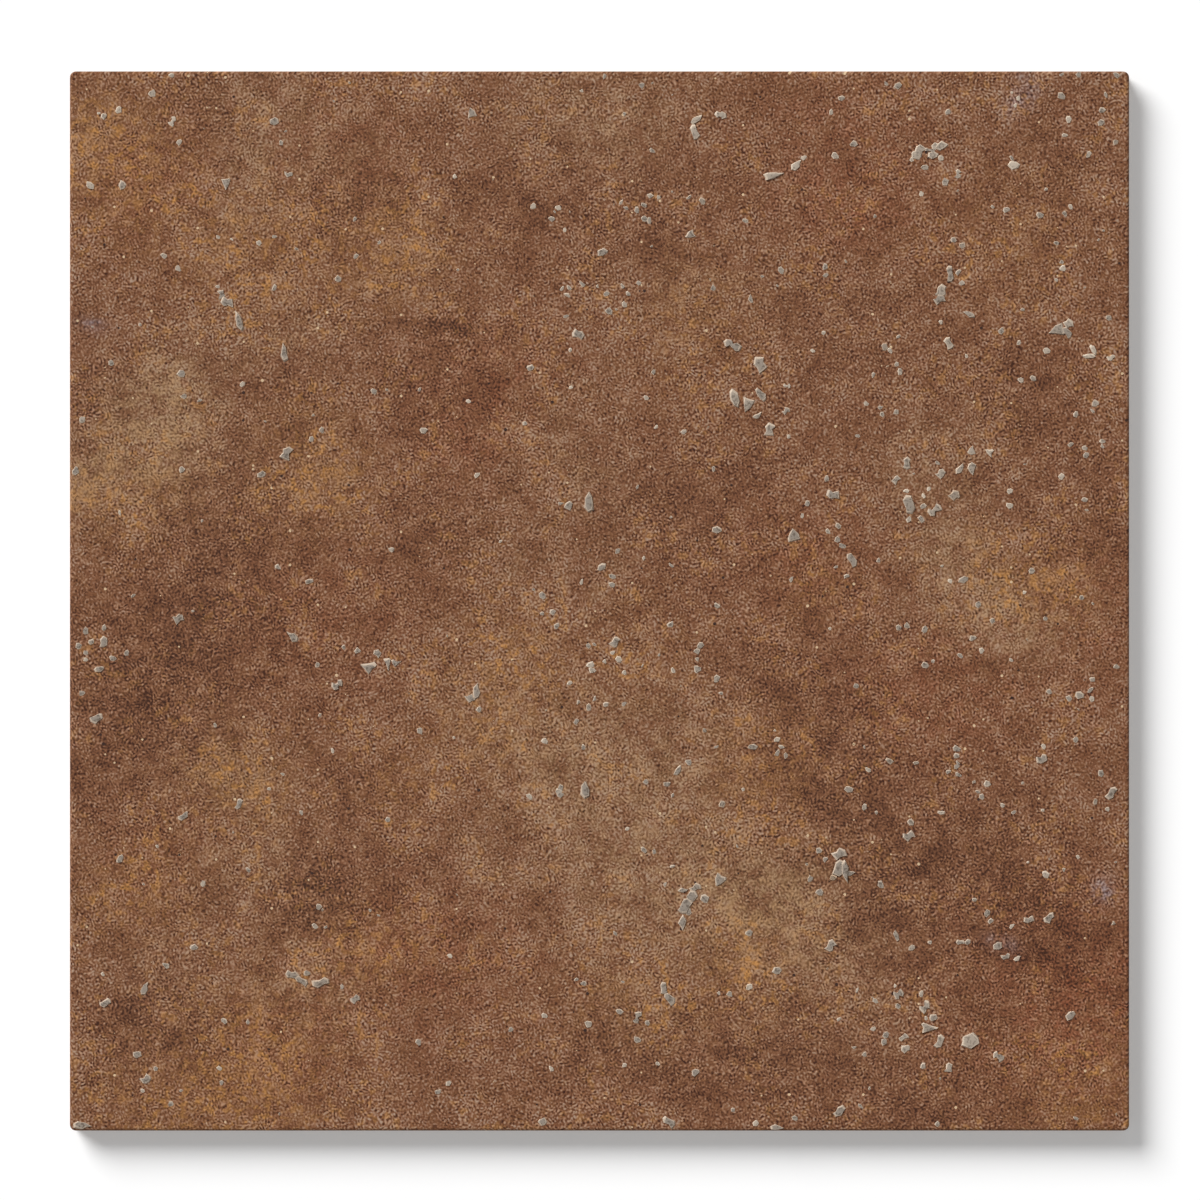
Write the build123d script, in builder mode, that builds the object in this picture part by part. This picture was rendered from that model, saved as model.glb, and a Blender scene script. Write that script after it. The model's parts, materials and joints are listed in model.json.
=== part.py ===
"""Square pressed porcelain floor tile, lying face up, in millimetres.

The tile is one fired body. Its back rests on the plane z = 0, the origin is under
the middle of the tile, and +Z points out of the wearing face.
"""

import math
import os

from build123d import *

# Format: the work size of a 300 mm module that is laid with a 2 mm joint.
tile_side = 298.0
tile_thickness = 9.0

# Outline and edges of the face.
corner_radius = 1.7  # corners of the tile, seen from above
arris_radius = 0.8  # rounding between the face and the sides

# Sides, as the press die leaves them.
land_height = 4.0  # upright band under the face, across which the joint is measured
side_draft = 2.0  # degrees that the side leans in below that band
back_bevel = 0.8  # bevel round the back edge

# Key pattern pressed into the back: square pockets with a lattice of ribs between them.
key_pitch = 24.0
rib_width = 3.0
key_depth = 0.8
key_corner_cut = 2.5  # leg of the cut across a pocket's corners
key_wall_angle = 35.0  # degrees that a pocket's walls lean from upright
rim_width = 5.0  # least width of the plain rim round the pattern

# The back is smaller than the face by the draft and the bevel on each side.
drafted_height = tile_thickness - land_height
draft_inset = drafted_height * math.tan(math.radians(side_draft))
back_side = tile_side - 2 * (draft_inset + back_bevel)

# As many pockets as fit inside the rim, with a rib between neighbours.
key_side = key_pitch - rib_width
key_count = int((back_side - 2 * rim_width + rib_width) // key_pitch)


# One pocket of the key pattern, narrower at its floor than at its mouth.
with BuildPart() as key_pocket:
    with BuildSketch() as key_mouth:
        Rectangle(key_side, key_side)
        chamfer(key_mouth.vertices(), length=key_corner_cut)
    extrude(amount=key_depth, taper=key_wall_angle)


with BuildPart() as porcelain_tile:
    # Lower body, drawn in towards the back so that the tile leaves the die.
    with BuildSketch():
        RectangleRounded(tile_side, tile_side, corner_radius)
    extrude(amount=drafted_height)
    lower_sides = porcelain_tile.faces().filter_by(Axis.Z, reverse=True)
    draft(lower_sides, Plane.XY.offset(drafted_height), -side_draft)

    back_edges = porcelain_tile.faces().sort_by(Axis.Z)[0].edges()
    chamfer(back_edges, length=back_bevel)

    # Upright band that carries the face.
    with BuildSketch(Plane.XY.offset(drafted_height)):
        RectangleRounded(tile_side, tile_side, corner_radius)
    extrude(amount=land_height)

    face_edges = porcelain_tile.faces().sort_by(Axis.Z)[-1].edges()
    fillet(face_edges, radius=arris_radius)

    # Key pattern in the back, which the adhesive grips.
    with GridLocations(key_pitch, key_pitch, key_count, key_count):
        add(key_pocket.part, mode=Mode.SUBTRACT)

porcelain_tile.part.label = "porcelain_tile"

os.makedirs("parts", exist_ok=True)
export_step(porcelain_tile.part, "parts/porcelain_tile.step")
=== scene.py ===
"""Looks of a square porcelain floor tile: its fired body, the chips in its face and a plain studio."""

import json
import logging
import math
import random
from dataclasses import dataclass
from enum import Enum, IntEnum

import bmesh
import bpy
import numpy as np
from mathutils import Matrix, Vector, noise

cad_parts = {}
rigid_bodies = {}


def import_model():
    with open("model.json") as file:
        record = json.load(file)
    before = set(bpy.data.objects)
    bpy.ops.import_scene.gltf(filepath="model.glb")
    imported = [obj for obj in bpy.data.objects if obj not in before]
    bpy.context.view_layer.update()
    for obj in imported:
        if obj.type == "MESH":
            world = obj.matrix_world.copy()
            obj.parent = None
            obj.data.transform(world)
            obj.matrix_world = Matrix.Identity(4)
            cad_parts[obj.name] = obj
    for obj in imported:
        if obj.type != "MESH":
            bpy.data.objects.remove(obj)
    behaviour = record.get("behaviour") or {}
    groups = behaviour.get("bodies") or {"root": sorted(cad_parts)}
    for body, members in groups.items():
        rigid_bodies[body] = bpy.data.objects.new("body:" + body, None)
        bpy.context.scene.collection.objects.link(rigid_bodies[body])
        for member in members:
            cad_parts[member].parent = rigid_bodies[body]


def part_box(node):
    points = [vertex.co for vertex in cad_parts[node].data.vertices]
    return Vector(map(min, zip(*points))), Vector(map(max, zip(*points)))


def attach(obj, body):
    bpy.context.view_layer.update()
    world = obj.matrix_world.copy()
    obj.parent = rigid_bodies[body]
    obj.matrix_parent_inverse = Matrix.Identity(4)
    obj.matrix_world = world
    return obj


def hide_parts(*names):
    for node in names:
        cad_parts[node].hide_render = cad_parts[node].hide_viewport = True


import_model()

log = logging.getLogger("porcelain_tile")

Material = bpy.types.Material
Mesh = bpy.types.Mesh
Piece = bpy.types.Object
Socket = bpy.types.NodeSocket

MM = 0.001  # metres in a millimetre
WELD = 0.004 * MM  # points nearer to each other than this become one
NODE = "porcelain_tile"
BODY = "root"


def linear(hex_colour: str) -> tuple[float, float, float, float]:
    """Turns an sRGB colour to the linear values that shaders take.

    Args:
        hex_colour: Six hex digits, such as "8a6248".

    Returns:
        Red, green, blue and a full alpha.
    """
    shares = [int(hex_colour[k : k + 2], 16) / 255 for k in (0, 2, 4)]
    red, green, blue = [s / 12.92 if s <= 0.04045 else ((s + 0.055) / 1.055) ** 2.4 for s in shares]
    return red, green, blue, 1.0


def per_metre(period: float) -> float:
    """Gives the texture scale at which one feature is period millimetres wide."""
    return 1 / (period * MM)


class Colour(IntEnum):
    """Places of the colour sockets on a Mix node."""

    FACTOR = 0
    FIRST = 6
    SECOND = 7
    RESULT = 2


@dataclass(frozen=True)
class Graph:
    """A node tree that is being wired."""

    tree: bpy.types.NodeTree

    def add(
        self,
        kind: str,
        inputs: dict[str | int, object] | None = None,
        output: str | int = 0,
        **settings: object,
    ) -> Socket | None:
        """Adds a node with its settings and links.

        Args:
            kind: The node's type name.
            inputs: Sockets to link from, or values to set, by the input's name or place.
            output: The output to hand back, by name or place.
            **settings: Properties of the node itself.

        Returns:
            The chosen output socket, or None for a node without outputs.
        """
        made = self.tree.nodes.new(kind)
        for key, value in settings.items():
            setattr(made, key, value)
        for key, value in (inputs or {}).items():
            if isinstance(value, Socket):
                self.tree.links.new(value, made.inputs[key])
            else:
                made.inputs[key].default_value = value
        return made.outputs[output] if len(made.outputs) else None


def new_material(name: str) -> tuple[Material, Graph]:
    """Makes an empty node material.

    Args:
        name: The material's name.

    Returns:
        The material and the graph of its nodes.
    """
    material = bpy.data.materials.new(name)
    material.use_nodes = True
    material.node_tree.nodes.clear()
    return material, Graph(material.node_tree)


def new_object(name: str, mesh: Mesh) -> Piece:
    """Puts a mesh into the scene as an object at the origin.

    Args:
        name: The object's name.
        mesh: Its mesh.

    Returns:
        The object.
    """
    made = bpy.data.objects.new(name, mesh)
    bpy.context.scene.collection.objects.link(made)
    return made


@dataclass(frozen=True)
class GeometryTree:
    """A geometry node tree with named inputs."""

    name: str
    inputs: dict[str, str]

    def start(self) -> tuple[Graph, dict[str, Socket]]:
        """Makes the tree with its interface.

        Returns:
            The graph of its nodes and the sockets of its named inputs.
        """
        tree = bpy.data.node_groups.new(self.name, "GeometryNodeTree")
        tree.interface.new_socket("Geometry", in_out="INPUT", socket_type="NodeSocketGeometry")
        for title, kind in self.inputs.items():
            tree.interface.new_socket(title, in_out="INPUT", socket_type=kind)
        tree.interface.new_socket("Geometry", in_out="OUTPUT", socket_type="NodeSocketGeometry")
        graph = Graph(tree)
        first = graph.add("NodeGroupInput")
        return graph, {socket.name: socket for socket in first.node.outputs if socket.name}

    @staticmethod
    def bake(piece: Piece, graph: Graph, values: dict[str, object]) -> None:
        """Runs the tree on a piece and leaves its result there as a plain mesh.

        Args:
            piece: The object whose mesh the tree starts from.
            graph: The finished tree.
            values: What each named input gets.
        """
        modifier = piece.modifiers.new(graph.tree.name, "NODES")
        modifier.node_group = graph.tree
        for item in graph.tree.interface.items_tree:
            if item.in_out == "INPUT" and item.name in values:
                modifier[item.identifier] = values[item.name]
        depsgraph = bpy.context.evaluated_depsgraph_get()
        mesh = bpy.data.meshes.new_from_object(piece.evaluated_get(depsgraph))
        piece.modifiers.remove(modifier)
        piece.data = mesh


class Tint(Enum):
    """Tints that cloud the brown ground, named as the attributes that hold them."""

    CREAM = "tint_cream"
    OCHRE = "tint_ochre"
    UMBER = "tint_umber"
    RUST = "tint_rust"
    VIOLET = "tint_violet"


@dataclass(frozen=True)
class Cloud:
    """A soft patch of a tint on the face, in millimetres from the tile's middle."""

    x: float
    y: float
    reach_x: float
    reach_y: float
    strength: float


# places read by eye in the photograph, strengths matched to it in test renders
CLOUDS: dict[Tint, tuple[Cloud, ...]] = {
    Tint.CREAM: (
        Cloud(-124, 45, 12, 13, 1.4), Cloud(-146, 33, 9, 8, 1.6), Cloud(-120, 60, 10, 8, 0.7),
        Cloud(-89, 73, 11, 7, 0.5), Cloud(-98, 116, 10, 17, 0.5), Cloud(-93, 136, 10, 8, 0.5),
        Cloud(-2, 136, 17, 11, 0.7), Cloud(-11, 48, 12, 14, 0.3), Cloud(-103, -50, 10, 9, 1.1),
        Cloud(-81, 37, 9, 9, 0.6), Cloud(-141, 127, 9, 9, 0.5), Cloud(-73, 127, 9, 9, 0.4),
        Cloud(-56, 99, 12, 9, 0.4), Cloud(-1, 32, 7, 7, 0.4), Cloud(25, 87, 14, 8, 0.35),
        Cloud(0, 6, 7, 7, 0.4), Cloud(-23, 10, 8, 11, 0.35), Cloud(-5, -35, 17, 14, 0.6),
        Cloud(-30, -32, 11, 11, 0.5), Cloud(28, -42, 14, 11, 0.5), Cloud(-12, -51, 11, 8, 0.5),
        Cloud(11, -73, 19, 19, 0.9), Cloud(25, -78, 11, 14, 0.2), Cloud(46, -86, 13, 13, 1.4),
        Cloud(68, -102, 16, 17, 0.55), Cloud(9, -114, 11, 8, 0.4), Cloud(114, -3, 13, 11, 1.0),
        Cloud(101, 12, 11, 11, 0.6), Cloud(89, 28, 10, 10, 0.5), Cloud(99, 42, 11, 8, 0.4),
        Cloud(-81, -108, 13, 10, 0.6), Cloud(-98, -76, 13, 10, 0.4), Cloud(-33, -73, 10, 8, 0.4),
        Cloud(-124, -101, 11, 11, 0.3),
    ),
    Tint.OCHRE: (
        Cloud(-141, 127, 11, 11, 0.9), Cloud(-96, 98, 14, 12, 0.7), Cloud(-56, 99, 12, 10, 0.8),
        Cloud(-126, 116, 10, 11, 0.4), Cloud(-81, 37, 10, 10, 0.9), Cloud(-138, 28, 14, 7, 0.6),
        Cloud(-22, -14, 10, 8, 0.5), Cloud(11, -14, 10, 8, 0.4), Cloud(-30, -33, 12, 11, 0.5),
        Cloud(47, -48, 10, 10, 0.6), Cloud(41, -102, 8, 8, 0.7), Cloud(127, 6, 7, 8, 0.9),
        Cloud(109, 13, 5, 5, 0.5), Cloud(62, 3, 7, 5, 0.5), Cloud(-64, -98, 10, 8, 0.7),
        Cloud(-95, -132, 14, 14, 0.9), Cloud(-103, -50, 11, 10, 0.8), Cloud(-132, -81, 12, 8, 0.7),
        Cloud(-122, -140, 14, 10, 0.6), Cloud(-56, -51, 10, 8, 0.4), Cloud(139, -139, 12, 11, 0.6),
        Cloud(114, 102, 14, 11, 0.35), Cloud(28, 79, 11, 12, 0.45), Cloud(11, -112, 17, 8, 0.35),
    ),
    Tint.UMBER: (
        Cloud(-105, 17, 15, 20, 0.9), Cloud(-114, -14, 19, 16, 0.8), Cloud(-137, -33, 17, 17, 0.8),
        Cloud(-143, 57, 8, 11, 0.8), Cloud(-70, 113, 11, 8, 0.8), Cloud(-115, 141, 8, 8, 0.5),
        Cloud(-18, 112, 14, 11, 0.6), Cloud(17, 103, 11, 8, 0.5), Cloud(28, 118, 14, 10, 0.3),
        Cloud(-45, 62, 14, 11, 0.6), Cloud(-86, 59, 8, 7, 0.5), Cloud(-49, 17, 12, 11, 0.6),
        Cloud(26, 26, 17, 13, 0.8), Cloud(49, -21, 13, 13, 0.6), Cloud(68, -44, 12, 14, 0.8),
        Cloud(96, -73, 24, 17, 0.75), Cloud(131, -91, 14, 11, 0.7), Cloud(-81, -84, 7, 7, 1.8),
        Cloud(-70, -50, 7, 8, 0.7), Cloud(-129, -119, 10, 10, 0.8), Cloud(130, 121, 12, 12, 0.5),
        Cloud(65, 77, 17, 14, 0.4), Cloud(117, 59, 11, 8, 0.5), Cloud(144, 22, 7, 11, 0.5),
        Cloud(1, -129, 14, 10, 0.6), Cloud(40, -131, 16, 11, 0.6), Cloud(93, -140, 20, 10, 0.75),
        Cloud(118, -100, 18, 16, 0.3), Cloud(76, -74, 24, 22, 0.3), Cloud(70, -116, 22, 18, 0.25),
        Cloud(25, -122, 20, 16, 0.2), Cloud(124, 68, 18, 24, 0.25), Cloud(126, 24, 16, 18, 0.25),
        Cloud(-123, -76, 18, 18, 0.2), Cloud(-120, -122, 20, 18, 0.25), Cloud(69, 0, 11, 7, 0.5),
        Cloud(-62, -76, 14, 11, 0.4), Cloud(-45, 77, 8, 1.2, 2.0),
    ),
    Tint.RUST: (
        Cloud(135, -112, 23, 20, 1.0), Cloud(-73, 127, 13, 11, 0.4), Cloud(73, 111, 14, 10, 0.6),
        Cloud(-129, 117, 11, 10, 0.5), Cloud(-35, 46, 11, 10, 0.5), Cloud(-50, -100, 20, 14, 0.6),
        Cloud(-84, -126, 14, 11, 0.4), Cloud(93, -25, 17, 13, 0.6), Cloud(56, 12, 14, 10, 0.5),
        Cloud(-28, 65, 14, 10, 0.5), Cloud(68, 132, 17, 11, 0.4), Cloud(-76, -5, 17, 14, 0.4),
        Cloud(138, -5, 11, 17, 0.4), Cloud(-126, -73, 11, 11, 0.3),
    ),
    Tint.VIOLET: (
        Cloud(117, 143, 2.4, 4, 0.9), Cloud(-145, 79, 2.4, 1.2, 0.9), Cloud(144, -81, 1.8, 2.4, 0.9),
        Cloud(112, -97, 3, 1.5, 0.6),
    ),
}


@dataclass(frozen=True)
class Tinge:
    """What a tint's clouds do to the ground.

    A full cloud gives the hue's share and the lift in lightness. Some of the tint lies on
    the whole face, and all of it thickens from one level of the drifting noise to another.
    """

    tint: Tint
    hue: str
    share: float
    lift: float
    everywhere: float
    thin: float
    thick: float


@dataclass(frozen=True)
class FiredPorcelain:
    """Matt porcelain stoneware, pressed, printed and fired.

    The eye gets a dry, warm brown ground of short curled strokes with dark gaps between
    them, soft clouds of other tints, ochre flecks, pale specks and a few dark spots. Below
    the arris the print ends in an uneven line, and the sides and the back show the plain,
    paler body. Sizes and heights are in millimetres, and the mottle's turn is in radians.
    """

    name: str = "fired_porcelain"
    gap: str = "3a190b"
    ground: str = "7e5338"
    stroke: str = "ad9683"
    warm_stroke: str = "b08f76"
    tinges: tuple[Tinge, ...] = (
        Tinge(Tint.UMBER, "6e4a36", 0.30, -0.155, 0.0, 0.62, 0.38),
        Tinge(Tint.RUST, "8a4e32", 0.50, -0.06, 0.2, 0.58, 0.34),
        Tinge(Tint.CREAM, "a8845c", 0.30, 0.12, 0.0, 0.40, 0.60),
        Tinge(Tint.OCHRE, "a66e34", 0.35, 0.10, 0.25, 0.47, 0.63),
        Tinge(Tint.VIOLET, "8c8590", 0.45, 0.08, 0.0, 0.45, 0.60),
    )
    fleck: str = "c0843f"
    fleck_gleam: str = "68492b"
    speck: str = "d3b692"
    pit: str = "34211a"
    body: str = "8b6e59"
    body_speckle: str = "ad9580"
    kiln_wash: str = "d8cfc4"
    stroke_period: float = 1.12
    stroke_length: float = 2.1
    curl_size: float = 4.5
    curl_reach: float = 1.5
    grit_size: float = 1.4
    mottle_size: float = 10.0
    mottle_turn: float = 0.9
    zone_size: float = 16.0
    drift_size: float = 6.0
    fleck_size: float = 2.6
    speck_pitch: float = 2.6
    print_foot: float = 8.2
    print_top: float = 8.6
    print_raggedness: float = 1.6
    wash_height: float = 0.25
    stroke_gain: tuple[float, float] = (0.48, 0.78)
    grit_weight: float = 0.85
    mottle_weight: float = 0.55
    zone_weight: float = 0.25
    veil: tuple[float, float] = (0.45, 1.45)
    speck_rarity: float = 0.972
    speck_reach: float = 0.16
    dark_spot_rarity: float = 0.985
    dark_spot_reach: float = 0.18
    roughness: float = 0.75
    ior: float = 1.5
    specular: float = 0.2
    relief: float = 0.15

    def material(self) -> Material:
        """Builds the shader.

        Returns:
            The finished material.
        """
        material, graph = new_material(self.name)
        add = graph.add
        solid = add("ShaderNodeTexCoord", output="Object")
        height = add("ShaderNodeSeparateXYZ", {"Vector": solid}, output="Z")
        # the height leans the flat patterns, so that they run on down the sides without streaks
        place = add(
            "ShaderNodeVectorMath",
            {0: height, 1: (1.0, 1.0, 0.0), 2: solid},
            operation="MULTIPLY_ADD",
        )
        grit = self._grit(graph, place)
        mottle, zone = self._patches(graph, place)
        ground = self._ground_colour(graph, place, grit, mottle, zone)
        colour = self._spots(graph, place, zone, ground)
        edge = add(
            "ShaderNodeMath",
            {0: grit, 1: self.print_raggedness * MM, 2: height},
            operation="MULTIPLY_ADD",
        )
        printed = add(
            "ShaderNodeMapRange",
            {"Value": edge, "From Min": self.print_foot * MM, "From Max": self.print_top * MM},
            interpolation_type="SMOOTHSTEP",
        )
        body = self._body_colour(graph, height, grit, mottle)
        base = add(
            "ShaderNodeMix",
            {Colour.FACTOR: printed, Colour.FIRST: body, Colour.SECOND: colour},
            output=Colour.RESULT,
            data_type="RGBA",
        )
        bump = add("ShaderNodeBump", {"Height": grit, "Distance": self.relief * MM, "Strength": 1.0})
        shader = add(
            "ShaderNodeBsdfPrincipled",
            {
                "Base Color": base,
                "Roughness": self.roughness,
                "IOR": self.ior,
                "Specular IOR Level": self.specular,
                "Normal": bump,
            },
        )
        add("ShaderNodeOutputMaterial", {"Surface": shader})
        return material

    def _grit(self, graph: Graph, place: Socket) -> Socket:
        """Wires the uneven grit under the strokes, which also gives the touch of the surface."""
        settings = {"Vector": place, "Scale": per_metre(self.grit_size), "Detail": 1.0, "Distortion": 1.6}
        return graph.add("ShaderNodeTexNoise", settings, noise_dimensions="2D")

    def _patches(self, graph: Graph, place: Socket) -> tuple[Socket, Socket]:
        """Wires the uneven patches of the kiln.

        Args:
            graph: The material's nodes.
            place: Where a point lies on the tile.

        Returns:
            A lively mottle and wider, calmer zones, both about one half on the whole.
        """
        add = graph.add
        turned = add(
            "ShaderNodeVectorRotate",
            {"Vector": place, "Angle": self.mottle_turn},
            rotation_type="Z_AXIS",
        )
        mottle = add(
            "ShaderNodeTexNoise",
            {"Vector": turned, "Scale": per_metre(self.mottle_size), "Detail": 3.0, "Roughness": 0.78},
            noise_dimensions="2D",
        )
        zone = add(
            "ShaderNodeTexNoise",
            {"Vector": place, "Scale": per_metre(self.zone_size), "Detail": 2.0},
            noise_dimensions="2D",
        )
        return mottle, zone

    def _strokes(self, graph: Graph, place: Socket) -> tuple[Socket, Socket]:
        """Wires the short curled strokes.

        They are waves in six directions, and each comes and goes by its own noise.

        Args:
            graph: The material's nodes.
            place: Where a point lies on the tile.

        Returns:
            The strokes, about one half on the whole with more on a stroke and less in a gap,
            and a number that drifts from stroke to stroke.
        """
        add = graph.add
        curl = add(
            "ShaderNodeTexNoise",
            {"Vector": place, "Scale": per_metre(self.curl_size), "Detail": 0.0},
            output="Color",
            noise_dimensions="2D",
        )
        centred = add("ShaderNodeVectorMath", {0: curl, 1: (0.5, 0.5, 0.5)}, operation="SUBTRACT")
        reach = (self.curl_reach * MM, self.curl_reach * MM, 0.0)
        curled = add("ShaderNodeVectorMath", {0: centred, 1: reach, 2: place}, operation="MULTIPLY_ADD")
        total: object = 0.5
        # each three directions share one noise, and the second noise is read well away from the first
        for away, headings in ((0.0, (8, 71, 128)), (0.6, (39, 98, 159))):
            spot = add("ShaderNodeVectorMath", {0: place, 1: (away, away, 0.0)}, operation="ADD")
            lots = add(
                "ShaderNodeTexNoise",
                {"Vector": spot, "Scale": per_metre(self.stroke_length), "Detail": 0.0},
                output="Color",
                noise_dimensions="2D",
            )
            shares = add("ShaderNodeSeparateColor", {"Color": lots}).node.outputs
            for k, heading in enumerate(headings):
                turns = 2 * math.pi * per_metre(self.stroke_period * (0.9 + 0.08 * k))
                angle = math.radians(heading)
                across = Vector((math.cos(angle), math.sin(angle), 0.0)) * turns
                phase = add(
                    "ShaderNodeVectorMath",
                    {0: curled, 1: across},
                    output="Value",
                    operation="DOT_PRODUCT",
                )
                wave = add("ShaderNodeMath", {0: phase}, operation="SINE")
                share = add("ShaderNodeMath", {0: shares[k], 1: 0.5}, operation="SUBTRACT")
                total = add("ShaderNodeMath", {0: wave, 1: share, 2: total}, operation="MULTIPLY_ADD")
        return total, shares[0]

    def _clouds(self, graph: Graph, place: Socket) -> dict[Tint, Socket]:
        """Wires how strongly each tint clouds a point, broken up by a drifting noise.

        Args:
            graph: The material's nodes.
            place: Where a point lies on the tile.

        Returns:
            The strength of each tint.
        """
        add = graph.add
        drift = add(
            "ShaderNodeTexNoise",
            {"Vector": place, "Scale": per_metre(self.drift_size), "Detail": 3.0, "Roughness": 0.85},
            noise_dimensions="2D",
        )
        clouds: dict[Tint, Socket] = {}
        least, most = self.veil
        for tinge in self.tinges:
            soft = add("ShaderNodeAttribute", attribute_name=tinge.tint.value, output="Fac")
            cloud = add("ShaderNodeMath", {0: soft, 1: tinge.everywhere}, operation="ADD")
            veil = add(
                "ShaderNodeMapRange",
                {
                    "Value": drift,
                    "From Min": tinge.thin,
                    "From Max": tinge.thick,
                    "To Min": least,
                    "To Max": most,
                },
            )
            clouds[tinge.tint] = add("ShaderNodeMath", {0: cloud, 1: veil}, operation="MULTIPLY")
        return clouds

    def _ground_colour(
        self,
        graph: Graph,
        place: Socket,
        grit: Socket,
        mottle: Socket,
        zone: Socket,
    ) -> Socket:
        """Wires the brown ground with its grain, its mottle and its clouds.

        Args:
            graph: The material's nodes.
            place: Where a point lies on the tile.
            grit: The uneven grit.
            mottle: The lively mottle.
            zone: The wide zones.

        Returns:
            The ground's colour.
        """
        add = graph.add
        least, most = self.stroke_gain
        gain = add(
            "ShaderNodeMapRange",
            {"Value": zone, "From Min": 0.35, "From Max": 0.65, "To Min": least, "To Max": most},
        )
        level: object = 0.5
        strokes, lot = self._strokes(graph, place)
        layers = (
            (strokes, gain),
            (grit, self.grit_weight),
            (mottle, self.mottle_weight),
            (zone, self.zone_weight),
        )
        for field, weight in layers:
            centred = add("ShaderNodeMath", {0: field, 1: 0.5}, operation="SUBTRACT")
            level = add("ShaderNodeMath", {0: centred, 1: weight, 2: level}, operation="MULTIPLY_ADD")
        clouds = self._clouds(graph, place)
        for tinge in self.tinges:
            level = add(
                "ShaderNodeMath",
                {0: clouds[tinge.tint], 1: tinge.lift, 2: level},
                operation="MULTIPLY_ADD",
            )
        warm = add("ShaderNodeMapRange", {"Value": lot, "From Min": 0.35, "From Max": 0.65})
        stroke = add(
            "ShaderNodeMix",
            {
                Colour.FACTOR: warm,
                Colour.FIRST: linear(self.stroke),
                Colour.SECOND: linear(self.warm_stroke),
            },
            output=Colour.RESULT,
            data_type="RGBA",
        )
        colour: object = linear(self.gap)
        for start, shade in ((0.0, linear(self.ground)), (0.5, stroke)):
            share = add(
                "ShaderNodeMapRange",
                {"Value": level, "From Min": start, "From Max": start + 0.5},
            )
            colour = add(
                "ShaderNodeMix",
                {Colour.FACTOR: share, Colour.FIRST: colour, Colour.SECOND: shade},
                output=Colour.RESULT,
                data_type="RGBA",
            )
        for tinge in self.tinges:
            share = add("ShaderNodeMath", {0: clouds[tinge.tint], 1: tinge.share}, operation="MULTIPLY")
            colour = add(
                "ShaderNodeMix",
                {Colour.FACTOR: share, Colour.FIRST: colour, Colour.SECOND: linear(tinge.hue)},
                output=Colour.RESULT,
                data_type="RGBA",
                blend_type="COLOR",
            )
        return colour

    def _spots(
        self,
        graph: Graph,
        place: Socket,
        zone: Socket,
        colour: Socket,
    ) -> Socket:
        """Wires the small spots: clumped ochre flecks, pale specks and dark spots.

        Args:
            graph: The material's nodes.
            place: Where a point lies on the tile.
            zone: The wide zones, which the flecks keep to.
            colour: The ground's colour.

        Returns:
            The colour with the spots on it.
        """
        add = graph.add
        field = add(
            "ShaderNodeTexNoise",
            {"Vector": place, "Scale": per_metre(self.fleck_size), "Detail": 2.0, "Roughness": 0.6},
            noise_dimensions="2D",
        )
        cloud = add("ShaderNodeAttribute", attribute_name=Tint.OCHRE.value, output="Fac")
        fine = add(
            "ShaderNodeMapRange",
            {"Value": field, "From Min": 0.53, "From Max": 0.65, "To Max": 0.75},
        )
        wide = add(
            "ShaderNodeMapRange",
            {"Value": zone, "From Min": 0.5, "From Max": 0.62, "To Max": 0.6},
        )
        both = add("ShaderNodeMath", {0: wide, 1: cloud}, operation="ADD", use_clamp=True)
        share = add("ShaderNodeMath", {0: fine, 1: both}, operation="MULTIPLY")
        cells = add(
            "ShaderNodeTexVoronoi",
            {"Vector": place, "Scale": per_metre(self.speck_pitch)},
            output="Distance",
            voronoi_dimensions="2D",
        )
        lots = add("ShaderNodeSeparateColor", {"Color": cells.node.outputs["Color"]}).node
        spots = [(share, self.fleck, "COLOR"), (share, self.fleck_gleam, "ADD")]
        dots = (
            ("Red", self.speck_rarity, self.speck_reach, self.speck),
            # the dark spots are dark colour only, with no hollow under them
            ("Green", self.dark_spot_rarity, self.dark_spot_reach, self.pit),
        )
        for lot, rarity, largest, shade in dots:
            size = add(
                "ShaderNodeMapRange",
                {"Value": lots.outputs[lot], "From Min": rarity, "From Max": 1.0, "To Max": largest},
            )
            dot = add("ShaderNodeMath", {0: cells, 1: size}, operation="LESS_THAN")
            spots.append((dot, shade, "MIX"))
        for share, shade, blend in spots:
            colour = add(
                "ShaderNodeMix",
                {Colour.FACTOR: share, Colour.FIRST: colour, Colour.SECOND: linear(shade)},
                output=Colour.RESULT,
                data_type="RGBA",
                blend_type=blend,
            )
        return colour

    def _body_colour(self, graph: Graph, height: Socket, grit: Socket, mottle: Socket) -> Socket:
        """Wires the colour of the plain, speckled body, with kiln wash on the ribs of the back.

        Args:
            graph: The material's nodes.
            height: How high a point lies above the back.
            grit: The uneven grit.
            mottle: The lively mottle.

        Returns:
            The body's colour.
        """
        add = graph.add
        speckle = add("ShaderNodeMapRange", {"Value": grit, "From Min": 0.3, "From Max": 0.7})
        low = add(
            "ShaderNodeMapRange",
            {"Value": height, "From Min": self.wash_height * MM, "From Max": 0.0},
        )
        wash = add(
            "ShaderNodeMapRange",
            {"Value": mottle, "From Min": 0.4, "From Max": 0.65, "To Max": 0.75},
        )
        washed = add("ShaderNodeMath", {0: low, 1: wash}, operation="MULTIPLY")
        colour: object = linear(self.body)
        for share, shade in ((speckle, self.body_speckle), (washed, self.kiln_wash)):
            colour = add(
                "ShaderNodeMix",
                {Colour.FACTOR: share, Colour.FIRST: colour, Colour.SECOND: linear(shade)},
                output=Colour.RESULT,
                data_type="RGBA",
            )
        return colour


@dataclass(frozen=True)
class BakeMap:
    """How the map that the finish is baked through is shared out, in shares of its side.

    The face takes most of it. The back lies beside the face, smaller, with four upright
    strips for the sides above it.
    """

    margin: float = 0.005
    face: float = 0.8
    back: float = 0.18
    back_left: float = 0.815
    strips_left: float = 0.82
    strips_foot: float = 0.195
    strip_pitch: float = 0.042
    strip_width: float = 0.03


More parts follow.
